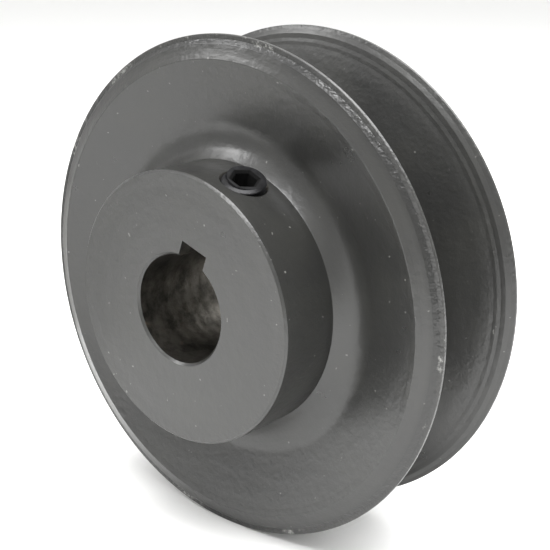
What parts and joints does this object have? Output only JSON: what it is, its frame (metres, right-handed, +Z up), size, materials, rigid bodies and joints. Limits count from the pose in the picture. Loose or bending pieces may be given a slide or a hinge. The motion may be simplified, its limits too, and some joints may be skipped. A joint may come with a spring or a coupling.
{
  "type": "v belt pulley",
  "caption": "Single-groove V-belt sheave with a long turned hub, a keyed fixed bore and a socket set screw over the keyway.",
  "frame": {"origin": "on the shaft axis, midway between the two rims", "axes": "+Y along the shaft axis towards the rear face; the long end of the hub points to -Y; +Z up; the keyway lies 20 degrees from +Z towards +X"},
  "size_m": [0.075, 0.0306, 0.075],
  "materials": {
    "grey_paint": "semi-gloss grey enamel over cast iron",
    "black_oxide": "black oxide alloy steel"
  },
  "bodies": {
    "sheave": {"sheave_casting": "grey_paint"},
    "screw": {"set_screw": "black_oxide"}
  },
  "joints": [
    {"name": "set_screw_travel", "type": "slide", "parent": "sheave", "child": "screw", "axis": [0.3689, -0.1736, 0.9131], "range_m": [-0.002, 0.0079]}
  ]
}
